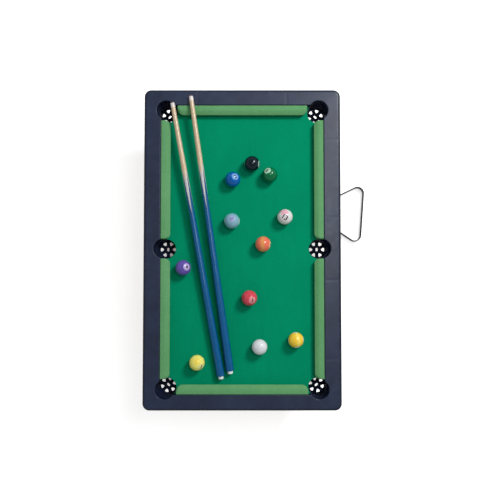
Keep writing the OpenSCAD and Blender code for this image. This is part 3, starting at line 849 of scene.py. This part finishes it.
CUE_L, BUMPER_L, FERRULE_L, LEATHER_L = 447.0, 5.0, 7.0, 2.0
BUTT_R, NECK_R, SHAFT_RINGS = 6.5, 3.5, 40
cue_looks = {
    "shaft": painted_cue(),
    "ferrule": plain_resin("ferrule_white", rgb(218, 210, 208), rgb(198, 190, 188), 0.3),
    "tip": leather(),
    "bumper": plain_resin("bumper_white", rgb(226, 236, 236), rgb(206, 218, 218), 0.4)}
for cue in ("cue_left", "cue_right"):
    low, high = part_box(f"{cue}_bumper")
    foot = (low + high) / 2 / MM
    low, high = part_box(f"{cue}_tip")
    head = (low + high) / 2 / MM
    axis = (head - foot).normalized()
    foot -= axis * BUMPER_L / 2
    neck = CUE_L - FERRULE_L - LEATHER_L
    shaft = [(BUMPER_L, BUTT_R - 0.7), (BUMPER_L + 0.12, BUTT_R - 0.35), (BUMPER_L + 0.6, BUTT_R)]
    for i in range(1, SHAFT_RINGS + 1):
        share = i / SHAFT_RINGS
        shaft.append((BUMPER_L + 0.6 + (neck - BUMPER_L - 0.8) * share, BUTT_R + (NECK_R - BUTT_R) * share))
    shaft += [(neck, NECK_R - 0.15)]
    ferrule = [(neck, NECK_R - 0.2), (neck + 0.2, NECK_R), (neck + FERRULE_L - 0.3, NECK_R - 0.1),
               (neck + FERRULE_L, NECK_R - 0.3)]
    head_at = neck + FERRULE_L
    tip = [(head_at, 3.15), (head_at + 0.25, 3.3), (head_at + 0.9, 3.3), (head_at + 1.25, 3.0),
           (head_at + 1.6, 2.3), (head_at + 1.85, 1.4), (head_at + 1.97, 0.5)]
    bumper = [(0.0, 2.9), (0.15, 3.5), (0.5, 4.0), (1.1, 4.3), (BUMPER_L - 0.4, 4.3), (BUMPER_L, 4.15)]
    parts = (("shaft", shaft, "cue_painted_wood"), ("ferrule", ferrule, "cue_ferrule_plastic"),
             ("tip", tip, "cue_tip_leather"), ("bumper", bumper, "cue_bumper_plastic"))
    for part, profile, slot in parts:
        lathe(f"{cue}_{part}_turned", foot, axis, profile, cue_looks[part], cue, f"{cue}_{part}")


# ---- balls
DISC_COS = math.cos(math.radians(27))
WHITE = rgb(232, 232, 228)


def ball_look(name, centre, colour, deep, discs, disc_tint=WHITE, bands=(), patch=None):
    """Polished resin with pale discs at both ends of an axis.

    A band is (axis, from, to, tint, softness): it covers the ball where the way from its middle lies that
    far along the axis, to either side. A patch is (way, reach, tint), with a soft edge."""
    look = Look(name, IOR=1.52, Specular_IOR_Level=0.32)
    way = look.vector("NORMALIZE", look.vector("SUBTRACT", look.at, tuple(centre)))
    cloud = look.noise(5, 4, 0.6)
    body = look.mix(look.span(cloud, 0.3, 0.7, 0, 1), deep, colour)

    def toward(axis):
        return look.vector("DOT_PRODUCT", way, tuple(Vector(axis).normalized()))

    def edge(value, place, soft):
        return look.span(value, place - soft, place + soft, 0, 1, smooth=True)

    for axis, start, stop, tint, soft in bands:
        off = look.math("ABSOLUTE", toward(axis))
        share = look.math("SUBTRACT", edge(off, start, soft), edge(off, stop, soft))
        body = look.mix(share, body, tint)
    if patch:
        axis, reach, tint = patch
        body = look.mix(look.scaled(edge(toward(axis), reach, 0.07), 0.75), body, tint)
    if discs:
        body = look.mix(edge(look.math("ABSOLUTE", toward(discs)), DISC_COS, 0.004), body, disc_tint)
    look.set(Base_Color=body, Roughness=look.span(cloud, 0.3, 0.7, 0.12, 0.2))
    look.set(Normal=look.bump(look.scaled(look.noise(2.5, 3, 0.5), 0.004)))
    return look.material


def ball_mesh(name, centre, radius, cuts=20):
    """A sphere of even four-sided faces, spread from a cube."""
    bm = bmesh.new()
    bmesh.ops.create_cube(bm, size=2.0)
    bmesh.ops.subdivide_edges(bm, edges=bm.edges, cuts=cuts, use_grid_fill=True)
    for v in bm.verts:
        spread = Vector([math.tan(c * math.pi / 4) for c in v.co])
        v.co = centre + spread.normalized() * radius
    mesh = bpy.data.meshes.new(name)
    bm.to_mesh(mesh)
    bm.free()
    return mesh


# A capital's share of the font's size, how much bolder the numbers are as a share of their height,
# and the ink's longest edge, height over the ball and thickness in metres
CAPITAL, BOLDER = 0.7, 0.035
INK_EDGE, INK_PROUD, INK_T = 0.0007, 0.00003, 0.00012
NUMBER_H = 5.6


def numeral(name, text, centre, radius, toward, up, look, body, height_mm):
    """A printed number laid over a ball, its middle where the disc's middle is."""
    curve = bpy.data.curves.new(name, "FONT")
    curve.body, curve.size, curve.resolution_u = text, height_mm * MM / CAPITAL, 4
    curve.offset = BOLDER * height_mm * MM
    source = bpy.data.objects.new(name, curve)
    bpy.context.scene.collection.objects.link(source)
    bpy.context.view_layer.update()
    mesh = bpy.data.meshes.new_from_object(source.evaluated_get(bpy.context.evaluated_depsgraph_get()))
    bpy.data.objects.remove(source)
    bm = bmesh.new()
    bm.from_mesh(mesh)
    bmesh.ops.remove_doubles(bm, verts=bm.verts, dist=1e-6)
    for _ in range(5):
        bmesh.ops.triangulate(bm, faces=bm.faces)
        long_edges = [e for e in bm.edges if e.calc_length() > INK_EDGE]
        if not long_edges:
            break
        bmesh.ops.subdivide_edges(bm, edges=long_edges, cuts=1)
    xs, ys = [v.co.x for v in bm.verts], [v.co.y for v in bm.verts]
    middle = Vector(((min(xs) + max(xs)) / 2, (min(ys) + max(ys)) / 2, 0))
    normal = Vector(toward).normalized()
    right = Vector(up).cross(normal).normalized()
    top = normal.cross(right)
    for v in bm.verts:
        p = v.co - middle
        v.co = centre + (normal * radius + right * p.x + top * p.y).normalized() * (radius + INK_PROUD)
    bmesh.ops.recalc_face_normals(bm, faces=bm.faces)
    if bm.faces and sum(f.normal.dot(normal) for f in bm.faces) < 0:
        bmesh.ops.reverse_faces(bm, faces=bm.faces)
    bm.to_mesh(mesh)
    bm.free()
    mesh.materials.clear()
    obj = piece(name, mesh, look, body, weighted=False)
    thick = obj.modifiers.new("ink", "SOLIDIFY")
    thick.thickness, thick.offset = INK_T, -1


black_ink = plain_resin("number_ink", rgb(14, 14, 18), rgb(24, 24, 30), 0.25)
slate_ink = plain_resin("number_ink_slate", rgb(92, 98, 140), rgb(108, 114, 156), 0.25)
# Each ball: colour, deeper colour, number, way to its disc, way to the number's top, other features
BALLS = {
    "ball_cue": (rgb(214, 220, 222), rgb(202, 206, 211), "", None, None, {}),
    "ball_1_yellow": (rgb(232, 230, 122), rgb(228, 220, 100), "1", (0.6, -0.45, 0.66), (0.3, 0.9, 0.2),
                      {"disc_tint": rgb(216, 216, 140), "patch": ((0.05, 0.35, 0.94), 0.9, rgb(232, 204, 80)),
                       "number_h": 7.2}),
    "ball_2_blue": (rgb(0, 92, 168), rgb(0, 78, 150), "2", (0.36, 0.26, 0.9), (-0.3, 0.9, 0.1),
                    {"disc_tint": rgb(112, 154, 206)}),
    "ball_3_red": (rgb(212, 78, 92), rgb(192, 54, 70), "3", (0.4, -0.28, 0.87), (0.2, 0.9, 0.2),
                   {"disc_tint": rgb(212, 136, 140)}),
    "ball_4_purple": (rgb(104, 86, 170), rgb(86, 68, 150), "4", (0.56, 0.1, 0.82), (0.0, 1.0, 0.0),
                      {"disc_tint": rgb(176, 162, 204)}),
    "ball_5_orange": (rgb(226, 112, 88), rgb(218, 102, 78), "5", (0.93, -0.16, 0.22), (0.0, 0.6, 0.8),
                      {"disc_tint": rgb(224, 176, 140),
                       "bands": [((1.0, 0.0, 0.12), -1.0, 0.24, rgb(214, 142, 82), 0.12),
                                 ((1.0, 0.0, 0.12), 0.86, 2.0, rgb(228, 160, 112), 0.08)]}),
    "ball_6_green": (rgb(0, 108, 66), rgb(0, 94, 54), "6", (-0.36, 0.48, 0.8), (0.7, 0.7, 0.1),
                     {"disc_tint": rgb(158, 194, 170)}),
    "ball_8_black": (rgb(6, 26, 36), rgb(2, 16, 26), "8", (0.95, -0.08, 0.2), (0.0, 0.8, 0.6),
                     {"disc_tint": rgb(150, 178, 168)}),
    "ball_stripe_yellow": (rgb(236, 200, 64), rgb(232, 190, 50), "9",
                           (0.12, -0.98, 0.12), (0.9, 0.1, 0.2),
                           {"bands": [((0.98, 0.12, 0.1), 0.93, 2.0, WHITE, 0.03),
                                      ((0.98, 0.12, -0.3), -1.0, 0.16, rgb(236, 214, 104), 0.1)]}),
    "ball_stripe_pale": (rgb(126, 172, 186), rgb(112, 160, 178), "10", (0.0, 0.2, 0.97), (-0.1, 0.9, -0.2),
                         {"disc_tint": rgb(146, 160, 196), "ink": slate_ink,
                          "bands": [((0.98, -0.1, 0.0), 0.9, 2.0, rgb(196, 216, 216), 0.05)]}),
    "ball_stripe_white": (rgb(214, 216, 214), rgb(204, 206, 204), "13",
                          (-0.03, -0.16, 0.98), (0.55, 0.8, 0.1),
                          {"disc_tint": rgb(208, 202, 204), "number_h": 8.0,
                           "patch": ((-0.1, 0.52, 0.85), 0.88, rgb(222, 142, 166)),
                           "bands": [((0.7, -0.7, -0.1), 0.9, 2.0, rgb(150, 100, 120), 0.04)]}),
}
for ball, (colour, deep, text, toward, up, extra) in BALLS.items():
    low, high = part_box(ball)
    centre, radius = (low + high) / 2, (high.x - low.x) / 2
    ink, number_h = extra.pop("ink", black_ink), extra.pop("number_h", NUMBER_H)
    look = ball_look(f"{ball}_resin", centre, colour, deep, toward, **extra)
    slot = next(s["material_slot"] for s in frame["record"]["subparts"] if s["node"] == ball)
    piece(ball + "_polished", ball_mesh(ball, centre, radius), look, ball, [ball], weighted=False)
    if text:
        numeral(ball + "_number", text, centre, radius, toward, up, ink, ball, number_h)
        opposite = tuple(-c for c in toward)
        numeral(ball + "_number_far", text, centre, radius, opposite, up, ink, ball, number_h)


# ---- rack
RACK_AT, RACK_TURN = Vector((184.7, 72.0)), 175.8
RACK_SIDE, RACK_T, RACK_CORNER = 115.0, 1.9, 11.0


def rack():
    height = box_mm("ball_rack")[1].z

    def outline(g, z):
        hub = RACK_SIDE / math.sqrt(3) - 2 * RACK_CORNER
        points = []
        for third in range(3):
            mid = math.radians(RACK_TURN + 120 * third)
            centre = RACK_AT + Vector((math.cos(mid), math.sin(mid))) * hub
            points += arc(centre, RACK_CORNER + g, mid - math.pi / 3, mid + math.pi / 3, 16)
        return at_height(points, z)

    t, soft, nick = RACK_T / 2, 0.45, 0.13
    levels = [(t - soft, 0), (t - nick, nick), (t, soft), (t, height - soft), (t - nick, height - nick),
              (t - soft, height)]
    levels += [(-g, z) for g, z in levels[::-1]]
    shell = Shell()
    shell.rings([outline(*level) for level in levels], closed=True)
    return shell.mesh("ball_rack_moulded")


rack_look = moulded("rack_plastic_dark", rgb(18, 20, 22), rgb(28, 30, 33), 0.5, shine=0.2)
piece("ball_rack_moulded", rack(), rack_look, "rack", ["ball_rack"], sharp=40)


# ==== floor, light and camera
# Half the floor's side, and how far it lies below the feet so that no faces coincide, in metres
FLOOR_REACH, FLOOR_GAP = 3.0, 0.0002


def floor():
    look = Look("pale_floor_painted_shadow", Roughness=0.8, Specular_IOR_Level=0.1)
    cloud = look.noise(120, 3, 0.5)
    look.set(Base_Color=look.mix(cloud, rgb(244, 244, 244), rgb(248, 248, 248)))
    # The floor glows, and its glow is dimmed under the table into a painted shadow: metres past the table's
    # outline, then strengths
    shade, clear, dim, bright = -0.026, -0.002, 0.03, 0.62
    x, y, _ = look.parts(look.at)
    past_side = look.math("SUBTRACT", look.math("ABSOLUTE", x), half_w * MM)
    past_end = look.math("SUBTRACT", look.math("ABSOLUTE", y), half_l * MM)
    past = look.math("MAXIMUM", past_side, past_end)
    look.set(Emission_Color=(1, 1, 1, 1))
    look.set(Emission_Strength=look.span(past, shade, clear, dim, bright, smooth=True))
    mesh = bpy.data.meshes.new("floor")
    bm = bmesh.new()
    bmesh.ops.create_grid(bm, x_segments=8, y_segments=8, size=FLOOR_REACH)
    bm.to_mesh(mesh)
    bm.free()
    mesh.materials.append(look.material)
    obj = bpy.data.objects.new("floor", mesh)
    obj.location.z = -FLOOR_GAP
    bpy.context.scene.collection.objects.link(obj)
    obj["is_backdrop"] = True


floor()


def area_light(name, place, aim, size, power):
    data = bpy.data.lights.new(name, "AREA")
    data.shape, data.size, data.energy = "DISK", size, power
    obj = bpy.data.objects.new(name, data)
    obj.location = place
    obj.rotation_mode = "QUATERNION"
    obj.rotation_quaternion = (Vector(aim) - Vector(place)).to_track_quat("-Z", "Y")
    obj.visible_camera = False
    bpy.context.scene.collection.objects.link(obj)


LIT_AT = (0, 0, 0.15)
area_light("key", (0.75, 0.75, 1.3), LIT_AT, 0.42, 17)
area_light("soft_panel", (0.36, 0.2, 1.62), LIT_AT, 0.42, 4.2)

world = bpy.data.worlds.new("studio")
world.use_nodes = True
nodes, links = world.node_tree.nodes, world.node_tree.links
way = nodes.new("ShaderNodeTexCoord").outputs["Generated"]
height = nodes.new("ShaderNodeSeparateXYZ")
links.new(way, height.inputs[0])
fade = nodes.new("ShaderNodeMapRange")
links.new(height.outputs["Z"], fade.inputs["Value"])
for socket, value in (("From Min", 0.15), ("From Max", 0.95), ("To Min", 0.62), ("To Max", 0.2)):
    fade.inputs[socket].default_value = value
links.new(fade.outputs[0], nodes["Background"].inputs["Strength"])
nodes["Background"].inputs["Color"].default_value = (1, 1, 1, 1)
bpy.context.scene.world = world

TILT = math.radians(2.5)
camera_data = bpy.data.cameras.new("camera")
camera_data.sensor_width, camera_data.lens = 36.0, 45.53
camera_data.clip_start, camera_data.clip_end = 0.05, 20
camera = bpy.data.objects.new("camera", camera_data)
camera.location = (0.01237, -0.0460, 1.165)
camera.rotation_euler = (TILT, 0, 0)
bpy.context.scene.collection.objects.link(camera)
bpy.context.scene.camera = camera
bpy.context.scene.view_settings.view_transform = "Standard"

low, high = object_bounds()
